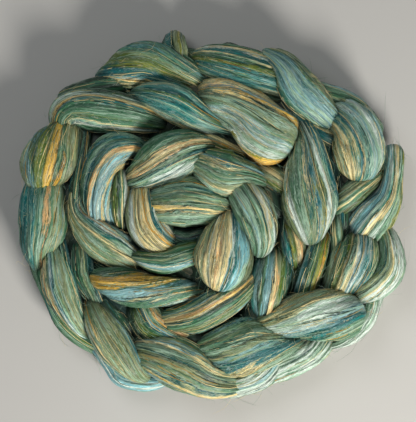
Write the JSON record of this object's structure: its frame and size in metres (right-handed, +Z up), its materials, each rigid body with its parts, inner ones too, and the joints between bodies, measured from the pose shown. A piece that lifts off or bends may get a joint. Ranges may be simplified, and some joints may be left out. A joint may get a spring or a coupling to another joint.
{
  "type": "coiled braid of wool roving",
  "caption": "Chain-plaited length of combed wool roving, coiled in a flat round spiral of plump overlapping lobes, streaked in greens, teal, pale blue, cream and gold.",
  "frame": {"origin": "middle of the bounding box in plan, at the flat underside that rests on the table", "axes": "+Z up out of the coil's flat spiral, +X along the coil's longer way across, +Y across it"},
  "size_m": [0.2734, 0.257, 0.0626],
  "materials": {
    "wool": "loose combed fibres with a soft sheen, streaked sage, deep green, teal, pale blue, olive, gold and cream"
  },
  "bodies": {
    "root": {"roving_braid": "wool"}
  },
  "joints": []
}
